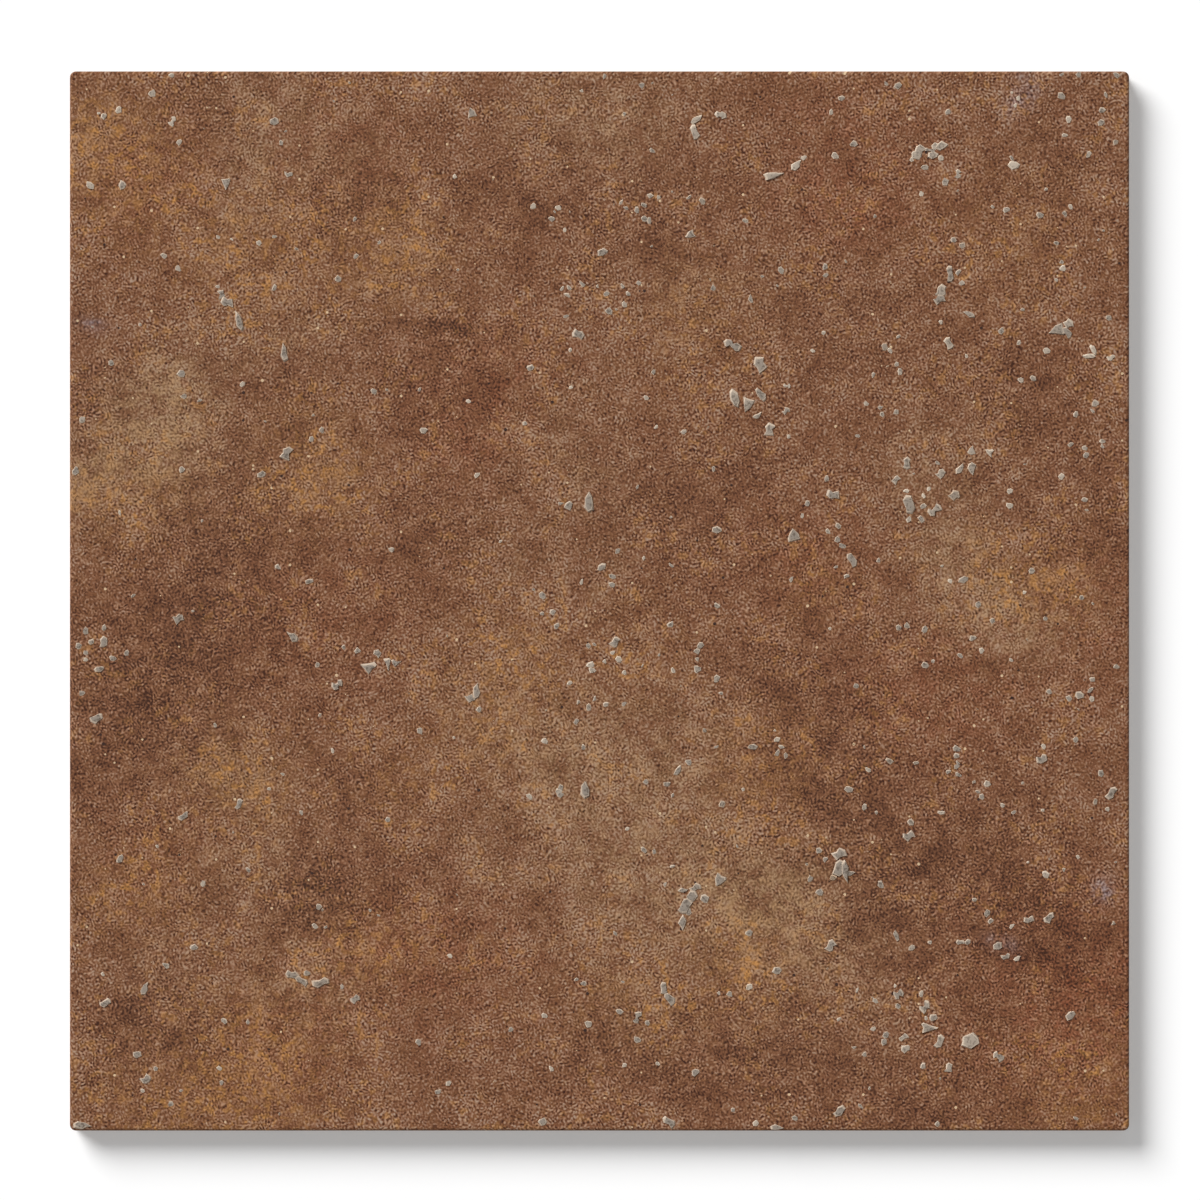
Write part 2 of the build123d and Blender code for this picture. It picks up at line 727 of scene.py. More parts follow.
@dataclass
class TileBody:
    """The pressed and fired body of the tile, as one closed mesh.

    Sizes are in millimetres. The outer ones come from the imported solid's box, and the
    rest are those of the press die.
    """

    side: float
    thickness: float
    finish: FiredPorcelain
    corner_radius: float = 1.7
    arris_radius: float = 0.8
    land_height: float = 4.0
    side_draft: float = 2.0
    back_bevel: float = 0.8
    key_pitch: float = 24.0
    key_count: int = 12
    rib_width: float = 3.0
    key_depth: float = 0.8
    key_corner_cut: float = 2.5
    key_wall_angle: float = 35.0
    key_lip: float = 0.2
    cuts_per_key: int = 16
    corner_cuts: int = 4
    arris_cuts: int = 4
    wave_height: float = 0.12
    wave_length: float = 45.0
    ripple_height: float = 0.05
    ripple_length: float = 7.0
    relief_fade: float = 3.2
    face_depth: float = 0.01
    cloud_bend: float = 5.0
    cloud_bend_length: float = 26.0
    cloud_bend_octaves: int = 4
    cloud_bend_seed: int = 38
    fullest_cloud: float = 1.5
    sharp_angle: float = 40.0
    bake_map: BakeMap = BakeMap()

    def build(self) -> Piece:
        """Makes the body's mesh.

        Returns:
            The body as an object at the origin.
        """
        material = self.finish.material()
        bm = bmesh.new()
        bm.from_mesh(self._shell())
        bm.from_mesh(self._lattice(material))
        bmesh.ops.remove_doubles(bm, verts=bm.verts, dist=WELD)
        bmesh.ops.recalc_face_normals(bm, faces=bm.faces)
        open_edges = sum(not edge.is_manifold for edge in bm.edges)
        mesh = bpy.data.meshes.new("tile_body")
        bm.to_mesh(mesh)
        bm.free()
        piece = new_object("tile_body", mesh)
        self._store_shares(mesh)
        self._raise_relief(piece, material)
        self._store_clouds(piece.data)
        self._lay_bake_map(piece.data)
        piece.data.shade_smooth()
        piece.data.set_sharp_from_angle(angle=math.radians(self.sharp_angle))
        log.info("tile_body: %d faces, %d open edges", len(piece.data.polygons), open_edges)
        return piece

    def dress(self, piece: Piece) -> None:
        """Gives the body its place in the frame.

        Args:
            piece: The finished body.
        """
        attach(piece, BODY)
        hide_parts(NODE)

    def _profile(self) -> list[tuple[float, float]]:
        """Draws the edge's section.

        Returns:
            Insets from the outline with their heights, from the face down to the back.
        """
        steps = [math.radians(90) * k / self.arris_cuts for k in range(1, self.arris_cuts + 1)]
        arris = [
            (
                self.arris_radius * (1 - math.sin(step)),
                self.thickness - self.arris_radius * (1 - math.cos(step)),
            )
            for step in steps
        ]
        drafted = self.thickness - self.land_height
        lean = math.tan(math.radians(self.side_draft))
        land = [(0.0, drafted + self.land_height / 3), (0.0, drafted)]
        lower = [(lean * (drafted - h), h) for h in (drafted / 2, self.back_bevel)]
        return arris + land + lower + [(lean * drafted + self.back_bevel, 0.0)]

    def _shell(self) -> Mesh:
        """Makes the face, the sides and the rim of the back.

        Returns:
            The shell, open where the key pattern goes.
        """
        straight = self.side / 2 - self.corner_radius
        flat_radius = self.corner_radius - self.arris_radius
        middle = np.linspace(-straight, straight, self.key_count * self.cuts_per_key + 1)
        corner = flat_radius * np.arange(1, self.corner_cuts + 1) / self.corner_cuts
        lines = np.concatenate([-straight - corner[::-1], middle, straight + corner])
        count = len(lines)
        grid = np.stack(np.meshgrid(lines, lines, indexing="ij"), -1)
        anchor = np.clip(grid, -straight, straight)
        out = grid - anchor
        length = np.linalg.norm(out, axis=-1, keepdims=True)
        heading = np.divide(out, length, out=np.zeros_like(out), where=length > 0)
        plan = anchor + heading * np.abs(out).max(-1, keepdims=True)
        index = np.arange(count * count).reshape(count, count)
        loop = np.concatenate([index[:-1, 0], index[-1, :-1], index[:0:-1, -1], index[0, :0:-1]])
        start, push = anchor.reshape(-1, 2)[loop], heading.reshape(-1, 2)[loop]

        rings = [np.c_[plan.reshape(-1, 2), np.full(count * count, self.thickness)]]
        for inset, height in self._profile():
            outline = start + push * (self.corner_radius - inset)
            rings.append(np.c_[outline, np.full(len(loop), height)])
        key_edge = self.key_count * self.key_pitch / 2
        rings.append(np.c_[start * key_edge / straight, np.zeros(len(loop))])

        quads = np.stack([index[:-1, :-1], index[1:, :-1], index[1:, 1:], index[:-1, 1:]], -1)
        bands = [quads.reshape(-1, 4)]
        upper = loop
        for k in range(1, len(rings)):
            lower = count * count + (k - 1) * len(loop) + np.arange(len(loop))
            bands.append(np.stack([upper, lower, np.roll(lower, -1), np.roll(upper, -1)], -1))
            upper = lower
        mesh = bpy.data.meshes.new("tile_shell")
        mesh.from_pydata((np.concatenate(rings) * MM).tolist(), [], np.concatenate(bands).tolist())
        return mesh

    def _pocket_outline(self, inset: float, height: float) -> list[tuple[float, float, float]]:
        """Draws a pocket's outline.

        Args:
            inset: How far it is moved in from the pocket's mouth.
            height: How high it lies.

        Returns:
            Its eight corners.
        """
        half = (self.key_pitch - self.rib_width) / 2 - inset
        short = half - (self.key_corner_cut - inset * (2 - math.sqrt(2)))
        flat = [(-short, -half), (short, -half), (half, -short), (half, short)]
        flat += [(-x, -y) for x, y in flat]
        return [(x, y, height) for x, y in flat]

    def _key_cell(self) -> Mesh:
        """Makes one cell of the key pattern.

        Returns:
            A pocket with half a rib round it.
        """
        half = self.key_pitch / 2
        lean = math.tan(math.radians(self.key_wall_angle))
        lip, depth = self.key_lip, self.key_depth
        rings = [
            (-lip, 0.0),
            (lip * lean, lip),
            ((depth - lip) * lean, depth - lip),
            (depth * lean + lip, depth),
        ]
        sides = [((-half, -half), (half, -half)), ((half, -half), (half, half))]
        sides += [((half, half), (-half, half)), ((-half, half), (-half, -half))]
        points: list[tuple[float, float, float]] = []
        for (x0, y0), (x1, y1) in sides:
            shares = [k / self.cuts_per_key for k in range(self.cuts_per_key)]
            points += [(x0 + (x1 - x0) * s, y0 + (y1 - y0) * s, 0.0) for s in shares]
        rim = len(points)
        for inset, height in rings:
            points += self._pocket_outline(inset, height)
        count = 2 * len(sides)  # a pocket's corners, two at each side
        faces: list[list[int]] = []
        for k in range(len(sides)):
            edge = [(k * self.cuts_per_key + s) % rim for s in range(self.cuts_per_key + 1)]
            faces.append(edge + [rim + 2 * k + 1, rim + 2 * k])
            faces.append([edge[-1], rim + (2 * k + 2) % count, rim + 2 * k + 1])
        for low in range(rim, rim + count * (len(rings) - 1), count):
            for k in range(count):
                after = (k + 1) % count
                faces.append([low + k, low + after, low + count + after, low + count + k])
        faces.append([rim + count * (len(rings) - 1) + k for k in range(count)])
        mesh = bpy.data.meshes.new("key_cell")
        mesh.from_pydata([tuple(c * MM for c in p) for p in points], [], faces)
        return mesh

    def _lattice(self, material: Material) -> Mesh:
        """Repeats the key cell over the back.

        Args:
            material: The body's finish.

        Returns:
            The key pattern, joined from cell to cell.
        """
        inputs = {"Pitch": "NodeSocketFloat", "Count": "NodeSocketInt", "Finish": "NodeSocketMaterial"}
        graph, given = GeometryTree("key_lattice", inputs).start()
        add = graph.add
        gaps = add("ShaderNodeMath", {0: given["Count"], 1: 1.0}, operation="SUBTRACT")
        span = add("ShaderNodeMath", {0: gaps, 1: given["Pitch"]}, operation="MULTIPLY")
        grid = add(
            "GeometryNodeMeshGrid",
            {
                "Size X": span,
                "Size Y": span,
                "Vertices X": given["Count"],
                "Vertices Y": given["Count"],
            },
        )
        cells = add("GeometryNodeInstanceOnPoints", {"Points": grid, "Instance": given["Geometry"]})
        real = add("GeometryNodeRealizeInstances", {"Geometry": cells})
        joined = add("GeometryNodeMergeByDistance", {"Geometry": real, "Distance": WELD})
        dressed = add("GeometryNodeSetMaterial", {"Geometry": joined, "Material": given["Finish"]})
        add("NodeGroupOutput", {"Geometry": dressed})
        piece = new_object("key_lattice", self._key_cell())
        values: dict[str, object] = {
            "Pitch": self.key_pitch * MM,
            "Count": self.key_count,
            "Finish": material,
        }
        GeometryTree.bake(piece, graph, values)
        mesh = piece.data
        bpy.data.objects.remove(piece)
        return mesh

    def _store_shares(self, mesh: Mesh) -> None:
        """Stores how much of the face's relief each point takes, which fades out towards the arris.

        Args:
            mesh: The body's mesh.
        """
        points = np.empty(len(mesh.vertices) * 3, np.float32)
        mesh.vertices.foreach_get("co", points)
        points = points.reshape(-1, 3) / MM
        flat_half = self.side / 2 - self.arris_radius
        inside = flat_half - np.abs(points[:, :2]).max(1)
        on_face = points[:, 2] > self.thickness - self.face_depth
        share = (np.clip(inside / self.relief_fade, 0, 1) * on_face).astype(np.float32)
        mesh.attributes.new("face_share", "FLOAT", "POINT").data.foreach_set("value", share)

    def _raise_relief(self, piece: Piece, material: Material) -> None:
        """Gives the face its slight waves and ripples, and the mesh its material.

        Args:
            piece: The body, with each point's share of the relief.
            material: The body's finish.
        """
        sizes = ("Wave Height", "Wave Length", "Ripple Height", "Ripple Length")
        inputs = {title: "NodeSocketFloat" for title in sizes}
        graph, given = GeometryTree("fired_relief", inputs | {"Finish": "NodeSocketMaterial"}).start()
        add = graph.add
        place = add("GeometryNodeInputPosition")
        total: object = 0.0
        for layer in ("Wave", "Ripple"):
            scale = add("ShaderNodeMath", {0: 1.0, 1: given[f"{layer} Length"]}, operation="DIVIDE")
            field = add("ShaderNodeTexNoise", {"Vector": place, "Scale": scale, "Detail": 1.0})
            centred = add("ShaderNodeMath", {0: field, 1: 0.5}, operation="SUBTRACT")
            total = add(
                "ShaderNodeMath",
                {0: centred, 1: given[f"{layer} Height"], 2: total},
                operation="MULTIPLY_ADD",
            )
        share = add("GeometryNodeInputNamedAttribute", {"Name": "face_share"}, data_type="FLOAT")
        lift = add("ShaderNodeMath", {0: total, 1: share}, operation="MULTIPLY")
        offset = add("ShaderNodeCombineXYZ", {"Z": lift})
        moved = add("GeometryNodeSetPosition", {"Geometry": given["Geometry"], "Offset": offset})
        dressed = add("GeometryNodeSetMaterial", {"Geometry": moved, "Material": given["Finish"]})
        add("NodeGroupOutput", {"Geometry": dressed})
        values: dict[str, object] = {
            "Wave Height": 2 * self.wave_height * MM,
            "Wave Length": self.wave_length * MM,
            "Ripple Height": 2 * self.ripple_height * MM,
            "Ripple Length": self.ripple_length * MM,
            "Finish": material,
        }
        GeometryTree.bake(piece, graph, values)

    def _store_clouds(self, mesh: Mesh) -> None:
        """Stores how strongly each tint clouds each point, with the clouds' edges bent by noise.

        Args:
            mesh: The body's mesh.
        """
        points = np.array([v.co for v in mesh.vertices]) / MM
        noise.seed_set(self.cloud_bend_seed)  # without it, the bends would differ from run to run
        spots = [Vector(point) / self.cloud_bend_length for point in points]
        bends = [noise.turbulence_vector(spot, self.cloud_bend_octaves, False) for spot in spots]
        bent = points[:, :2] + self.cloud_bend * np.array(bends)[:, :2]
        for tint, clouds in CLOUDS.items():
            total = np.zeros(len(points))
            for cloud in clouds:
                across = (bent[:, 0] - cloud.x) / cloud.reach_x
                along = (bent[:, 1] - cloud.y) / cloud.reach_y
                total += cloud.strength * np.exp(-0.5 * (across**2 + along**2))
            share = np.clip(total, 0, self.fullest_cloud).astype(np.float32)
            mesh.attributes.new(tint.value, "FLOAT", "POINT").data.foreach_set("value", share)

    def _lay_bake_map(self, mesh: Mesh) -> None:
        """Lays the map that the finish is baked through.

        Args:
            mesh: The body's finished mesh.
        """
        shares = self.bake_map
        corners = np.empty(len(mesh.loops), np.int32)
        mesh.loops.foreach_get("vertex_index", corners)
        points = np.array([v.co for v in mesh.vertices])[corners] / (self.side * MM)
        sizes = [polygon.loop_total for polygon in mesh.polygons]
        normals = np.repeat(np.array([polygon.normal for polygon in mesh.polygons]), sizes, axis=0)
        lying = np.abs(normals[:, 1]) > np.abs(normals[:, 0])
        facing = np.where(lying, normals[:, 1], normals[:, 0]) > 0
        along = np.where(lying, points[:, 0], points[:, 1]) + 0.5
        strip = 2 * lying + facing
        flat = points[:, :2] + 0.5
        risen = points[:, 2] * self.side / self.thickness
        across = shares.strips_left + shares.strip_pitch * strip + shares.strip_width * risen
        places = np.c_[across, shares.strips_foot + shares.face * along]
        up, down = normals[:, 2] > 0.5, normals[:, 2] < -0.3
        places[up] = shares.margin + shares.face * flat[up]
        places[down] = (shares.back_left, shares.margin) + shares.back * flat[down]
        mesh.uv_layers.new(name="OFBake").data.foreach_set("uv", places.astype(np.float32).ravel())


class Form(Enum):
    """Plans of a chip: corners round its middle, in shares of its length and of its width."""

    PEBBLE = ((0.5, 0.08), (0.18, 0.5), (-0.34, 0.4), (-0.5, -0.1), (-0.16, -0.5), (0.38, -0.36))
    SHARD = (
        (0.5, 0.2), (0.16, 0.5), (-0.14, 0.3), (-0.5, 0.34),
        (-0.32, -0.5), (0.1, -0.3), (0.42, -0.4),
    )
    WEDGE = (
        (0.5, 0.02), (0.1, 0.26), (-0.3, 0.5), (-0.5, 0.4),
        (-0.44, 0.0), (-0.42, -0.5), (0.0, -0.3),
    )
    SLAB = (
        (0.5, 0.12), (0.3, 0.46), (-0.12, 0.36), (-0.44, 0.5),
        (-0.5, -0.08), (-0.28, -0.5), (0.1, -0.36), (0.4, -0.42),
    )
    BLADE = (
        (0.5, -0.02), (0.2, 0.3), (-0.2, 0.5), (-0.5, 0.14),
        (-0.4, -0.34), (-0.04, -0.5), (0.26, -0.3),
    )
    LOBED = (
        (0.5, 0.22), (0.34, 0.5), (0.1, 0.2), (-0.16, 0.22), (-0.3, 0.5), (-0.5, 0.1),
        (-0.4, -0.44), (-0.14, -0.5), (0.02, -0.14), (0.28, -0.4), (0.46, -0.2),
    )


@dataclass(frozen=True)
class Chip:
    """A larger chip.

    Its middle and its length are in millimetres, its slimness is its width over its length
    and its turn is in degrees. Its tone goes from warm at 0 by grey to nearly white at 1.
    """

    x: float
    y: float
    length: float
    slimness: float
    turn: float
    tone: float = 0.5


# places, sizes and turns read in the photograph
CHIPS: dict[Form, tuple[Chip, ...]] = {
    Form.PEBBLE: (
        Chip(116, 143, 1.2, 0.6, 30, 0.95), Chip(117.7, 141.4, 1.5, 0.5, 100, 1.0),
        Chip(117.2, 139.6, 1.1, 0.7, 60, 0.95), Chip(-120.4, 147.8, 1.9, 0.8, 140, 0.8),
        Chip(84, 145, 2.5, 0.7, 20), Chip(-125.8, 142.8, 1.9, 0.9, 0, 0.75), Chip(130, 142, 2.3, 0.8, 0),
        Chip(-135.2, 138.1, 2, 0.75, 60, 0.9), Chip(97.9, 137.6, 1.7, 0.95, 0, 0.6),
        Chip(-141, 137, 0.9, 0.8, 0, 0.95), Chip(-139.4, 136.5, 2.1, 0.7, 20, 0.75),
        Chip(-91.5, 135, 2.5, 0.8, 20), Chip(141, 134.5, 2.3, 0.7, 30),
        Chip(-118.2, 129, 1.6, 0.9, 0, 0.8), Chip(71.5, 128.5, 2.5, 0.7, 40),
        Chip(96.1, 128.1, 3.1, 0.7, 15, 0.75), Chip(94.3, 127.9, 2, 0.95, 90, 0.85),
        Chip(89.2, 125.3, 2.8, 0.8, 160, 0.8), Chip(93.8, 125.3, 3.1, 0.62, 10, 0.75),
        Chip(66.4, 125.2, 2, 0.95, 0, 0.75), Chip(96.2, 124.7, 2, 0.75, 10, 0.85),
        Chip(57.4, 124.6, 1.7, 0.75, 20, 0.95), Chip(87.8, 124.1, 1.4, 0.95, 0, 0.9),
        Chip(115.9, 124.4, 1.6, 0.9, 90, 0.7), Chip(116.5, 122.6, 3.2, 0.7, 0, 0.95),
        Chip(91.6, 121.9, 2, 0.75, 0, 0.7), Chip(97.2, 118.1, 2.3, 0.75, 120, 0.7),
        Chip(-143.3, 117, 2.3, 0.8, 0, 0.85), Chip(-134.1, 116.9, 2.3, 0.95, 45, 0.6),
        Chip(90.6, 114.5, 1.4, 0.95, 0, 0.95), Chip(114.3, 110, 2, 0.75, 10, 0.75),
        Chip(124, 108.5, 2.3, 0.7, 0), Chip(-107.3, 102.5, 1.4, 0.8, 100, 0.85),
        Chip(-103.5, 101.6, 1, 0.9, 0, 1.0), Chip(-95.8, 100.7, 1.7, 0.85, 80, 0.8),
        Chip(1, 98, 2.8, 0.7, 20), Chip(-122.4, 97, 1.8, 0.85, 30, 0.7), Chip(2.5, 81.5, 2.5, 0.7, 0),
        Chip(143.1, 79.7, 1.7, 0.9, 70, 0.6), Chip(125.9, 70.4, 1.7, 0.9, 0, 0.85),
        Chip(-19.5, 65.5, 2.3, 0.8, 0), Chip(-117.5, 64, 2.3, 0.8, 0),
        Chip(95.1, 38.8, 1.7, 0.8, 80, 0.7), Chip(-147.5, 36.5, 2.5, 0.8, 90),
        Chip(-95, 35.5, 2.5, 0.7, 20), Chip(92.7, 31.5, 1.4, 0.95, 0, 0.95),
        Chip(86.1, 31, 1.4, 0.9, 0, 0.9), Chip(115.5, 31, 1.4, 0.95, 0, 0.9),
        Chip(91, 29.5, 1.7, 0.6, 120, 1.0), Chip(-10.7, 27.6, 1.4, 0.7, 10, 0.5),
        Chip(115.4, 26.9, 1.7, 0.95, 0, 0.8), Chip(90.9, 26.6, 2, 0.7, 0, 0.7),
        Chip(32.9, 20.1, 2.5, 0.75, 20, 0.5), Chip(0.5, 9.5, 2.5, 0.8, 20), Chip(102.5, 6, 2.8, 0.7, 20),
        Chip(-81.5, 5.5, 2.5, 0.7, 30), Chip(105, -10.5, 2.3, 0.7, 0), Chip(135, -26.5, 2.8, 0.8, 0),
        Chip(-33.9, -30.4, 1.7, 0.9, 0, 0.6), Chip(43, -41, 2.3, 0.8, 0), Chip(70, -53, 2.5, 0.7, 0),
        Chip(61.7, -70.2, 1.7, 0.9, 0, 0.6), Chip(-135, -72.5, 2.5, 0.7, 60),
        Chip(63.5, -72.7, 1.7, 0.8, 60, 0.6), Chip(65.8, -77.8, 2, 0.9, 20, 0.1),
        Chip(59.1, -78.2, 2, 0.9, 90, 0.5), Chip(61.8, -82, 2.3, 0.85, 0, 0.5),
        Chip(26, -83.1, 3.7, 0.75, 40, 0.5), Chip(29.5, -83.7, 2.5, 0.9, 120, 0.45),
        Chip(25.1, -87.3, 2.3, 0.55, 85, 0.45), Chip(112, -97, 2.8, 0.7, 20),
        Chip(-114, -97.5, 2.5, 0.7, 0), Chip(50, -104, 2.5, 0.8, 0),
        Chip(-82.4, -104.7, 2, 0.7, 20, 0.35), Chip(132.5, -116.5, 3.1, 0.7, 45),
        Chip(94, -117.2, 2.3, 0.85, 0, 0.6), Chip(13.4, -118.7, 1.7, 0.9, 30, 0.5),
        Chip(10.7, -123.4, 2.3, 0.85, 0, 0.5), Chip(104.4, -123.8, 5.3, 0.8, 15, 0.8),
        Chip(90.9, -130.8, 2, 0.8, 80, 0.7), Chip(27, -132.5, 2.8, 0.7, 30),
        Chip(-16, -146.5, 2.5, 0.7, 0),
    ),
    Form.SHARD: (
        Chip(90, 126.6, 3.4, 0.85, 60, 0.75), Chip(95.5, 84.7, 3.6, 0.6, 25, 0.6),
        Chip(-104.6, 84, 3.7, 0.72, 160, 0.55), Chip(131.7, 77.9, 2.8, 0.9, 10, 0.8),
        Chip(45.3, 66.4, 4.5, 0.8, 110, 0.65), Chip(52.5, 53.4, 2.3, 0.85, 30, 0.5),
        Chip(47.8, 48.1, 3.7, 0.75, 75, 0.7), Chip(-88, 41.5, 3.9, 0.75, 60),
        Chip(95.9, 35.8, 2.8, 0.85, 40, 0.75), Chip(83.5, 34.2, 2.5, 0.8, 45, 0.7),
        Chip(65.7, 29.8, 3.7, 0.75, 170, 0.55), Chip(99.8, 29.7, 3.1, 0.88, 30, 0.3),
        Chip(-8.7, 26.9, 2.5, 0.95, 60, 0.55), Chip(-118.5, -5, 3.1, 0.85, 20),
        Chip(-62.4, -14.7, 2.5, 0.8, 120, 0.4), Chip(67.4, -71.2, 4.2, 0.7, 20, 0.6),
        Chip(27, -80.7, 3.1, 0.75, 20, 0.35),
    ),
    Form.WEDGE: (
        Chip(-36, 137.5, 3.1, 0.85, 100), Chip(49.1, 119.7, 5.6, 0.4, 12, 0.8),
        Chip(-105.1, 117.3, 3, 0.8, 265, 0.7), Chip(25.5, 103, 2.8, 0.9, 200),
        Chip(128.4, 76.1, 4.8, 0.75, 195, 0.7), Chip(41.6, 55, 3.9, 0.95, 250, 0.75),
        Chip(104.8, 42.6, 2.5, 1.05, 90, 0.75), Chip(109.8, 41.7, 2.5, 0.9, 280, 0.85),
        Chip(54.7, 18.8, 3.9, 0.9, 95, 0.55), Chip(-56.9, -17.3, 2.8, 0.7, 10, 0.5),
        Chip(-59.6, -17.7, 3.4, 0.6, 270, 0.5), Chip(-65, -19.1, 3.4, 1.4, 275, 0.5),
        Chip(70.7, -76.4, 2.3, 0.75, 0, 0.5), Chip(33.5, -78.6, 3.7, 0.9, 235, 0.6),
        Chip(92.8, -120.1, 4.5, 0.6, 0, 0.7),
    ),
    Form.SLAB: (
        Chip(26.8, 131.9, 4.5, 0.42, 108, 0.8), Chip(92.8, 126.7, 3.1, 0.45, 165, 0.7),
        Chip(-87.5, 120, 2.3, 0.8, 0), Chip(98.5, 92.1, 4.5, 0.42, 95, 0.65),
        Chip(-106.3, 86.4, 2.8, 0.65, 100, 0.5), Chip(96.2, 87.2, 3.3, 0.85, 80, 0.75),
        Chip(131.5, 75.5, 3.4, 0.5, 140), Chip(-6, 75, 3.4, 0.7, 160),
        Chip(98.2, 72.6, 3.7, 0.5, 118, 0.75), Chip(144, 68.4, 2.5, 0.65, 30, 0.9),
        Chip(45.3, 58.1, 4.2, 0.42, 133, 0.6), Chip(86.5, 38.7, 3.4, 0.62, 80, 0.65),
        Chip(87, 27.2, 5.1, 0.6, 105, 0.65), Chip(71, 11.5, 4.2, 0.5, 125, 0.55),
        Chip(-139.5, -11.5, 3.1, 0.7, 90), Chip(4.5, -11.5, 3.4, 0.7, 60),
        Chip(-36.3, -27.4, 2.8, 0.65, 20, 0.45), Chip(-141.5, -33, 3.9, 0.6, 30),
        Chip(124.5, -44.5, 3.1, 0.7, 30), Chip(144, -54, 3.9, 0.5, 60), Chip(-101.5, -57, 3.1, 0.6, 70),
        Chip(-117, -60.5, 3.1, 0.6, 30), Chip(87, -66, 3.1, 0.7, 20),
        Chip(67.5, -75.1, 4.5, 0.68, 80, 0.6), Chip(24.1, -85.8, 5.1, 0.6, 58, 0.45),
        Chip(126.5, -89, 3.1, 0.7, 40), Chip(121, -89.5, 3.1, 0.6, 20), Chip(101.5, -96, 2.5, 0.6, 0),
        Chip(65, -97, 3.4, 0.7, 60), Chip(114, -100, 2.5, 0.6, 10),
        Chip(-86.6, -105.1, 3.7, 0.58, 165, 0.35), Chip(-83.8, -106.9, 4.2, 0.45, 150, 0.35),
        Chip(-78.3, -107.3, 4.8, 0.5, 20, 0.35), Chip(18.1, -108.9, 3.7, 0.5, 97, 0.4),
        Chip(19.6, -111.7, 3.7, 0.55, 130, 0.4), Chip(-68.8, -112, 2.8, 0.7, 30, 0.4),
        Chip(-139, -113, 3.4, 0.6, 30), Chip(85.4, -122.7, 2.8, 0.55, 35, 0.75),
        Chip(95.6, -123.9, 3.9, 0.6, 65, 0.75), Chip(86.2, -125.9, 2.5, 0.75, 15, 0.75),
        Chip(98.2, -131.3, 2.5, 0.7, 75, 0.75), Chip(-127.5, -134.5, 3.1, 0.7, 40),
        Chip(67.5, -143.5, 3.4, 0.7, 60), Chip(19.5, -146.5, 3.9, 0.6, 150),
    ),
    Form.BLADE: (
        Chip(27.3, 135.5, 3.7, 0.45, 38, 0.85), Chip(55.3, 122.6, 3.7, 0.6, 48, 0.85),
        Chip(103.8, 80.7, 3.7, 0.45, 160, 0.7), Chip(-101.4, 78.7, 5.9, 0.36, 107, 0.5),
        Chip(139, 70.5, 3.1, 0.5, 305, 0.95), Chip(-88.8, 69.8, 5.1, 0.42, 100, 0.65),
        Chip(137.7, 68.9, 3.7, 0.38, 188, 0.95), Chip(38.1, 57, 5.6, 0.45, 292, 0.75),
        Chip(44.4, 52.2, 2.8, 0.45, 45, 0.65), Chip(101.5, 37.4, 3.1, 0.65, 70, 0.7),
        Chip(104.7, 37.2, 3.7, 0.58, 275, 0.7), Chip(-3, 27.8, 5.9, 0.48, 93, 0.5),
        Chip(-86.5, -10, 4.2, 0.45, 145), Chip(-140.5, -19, 3.4, 0.45, 20),
        Chip(-34.6, -25.3, 4.5, 0.42, 85, 0.45), Chip(22, -47.5, 3.4, 0.45, 60),
        Chip(-4, -53, 5.1, 0.5, 95), Chip(69.3, -76.2, 6.5, 0.3, 280, 0.6),
        Chip(23.5, -81.3, 3.1, 0.35, 8, 0.4), Chip(23.3, -90.6, 4.2, 0.5, 272, 0.5),
        Chip(83.5, -94, 3.7, 0.45, 110), Chip(117.5, -100.5, 2.5, 0.45, 30, 0.9),
        Chip(-128, -109, 3.9, 0.45, 70), Chip(-145.5, -147.5, 5.1, 0.4, 0), Chip(50, -148, 3.9, 0.4, 0),
    ),
    Form.LOBED: (
        Chip(34, 136.7, 3.4, 0.6, 165, 0.8), Chip(-120, 134.8, 2.7, 0.7, 55, 0.9),
        Chip(100.8, 120, 2.5, 0.65, 85, 0.7), Chip(37.5, 71.9, 5.1, 0.5, 148, 0.6),
        Chip(52.7, 60.6, 2.5, 0.45, 0, 0.9), Chip(94.2, 25.5, 4.2, 0.6, 25, 0.7),
        Chip(-73.8, -23.5, 3.4, 0.7, 30, 0.5), Chip(84, -110.5, 3.1, 0.8, 20, 0.6),
        Chip(91.6, -114.2, 3.4, 0.8, 40, 0.7), Chip(10.7, -117.2, 3.7, 0.55, 65, 0.45),
        Chip(112.2, -128.2, 3.1, 0.75, 150, 0.7),
    ),
}

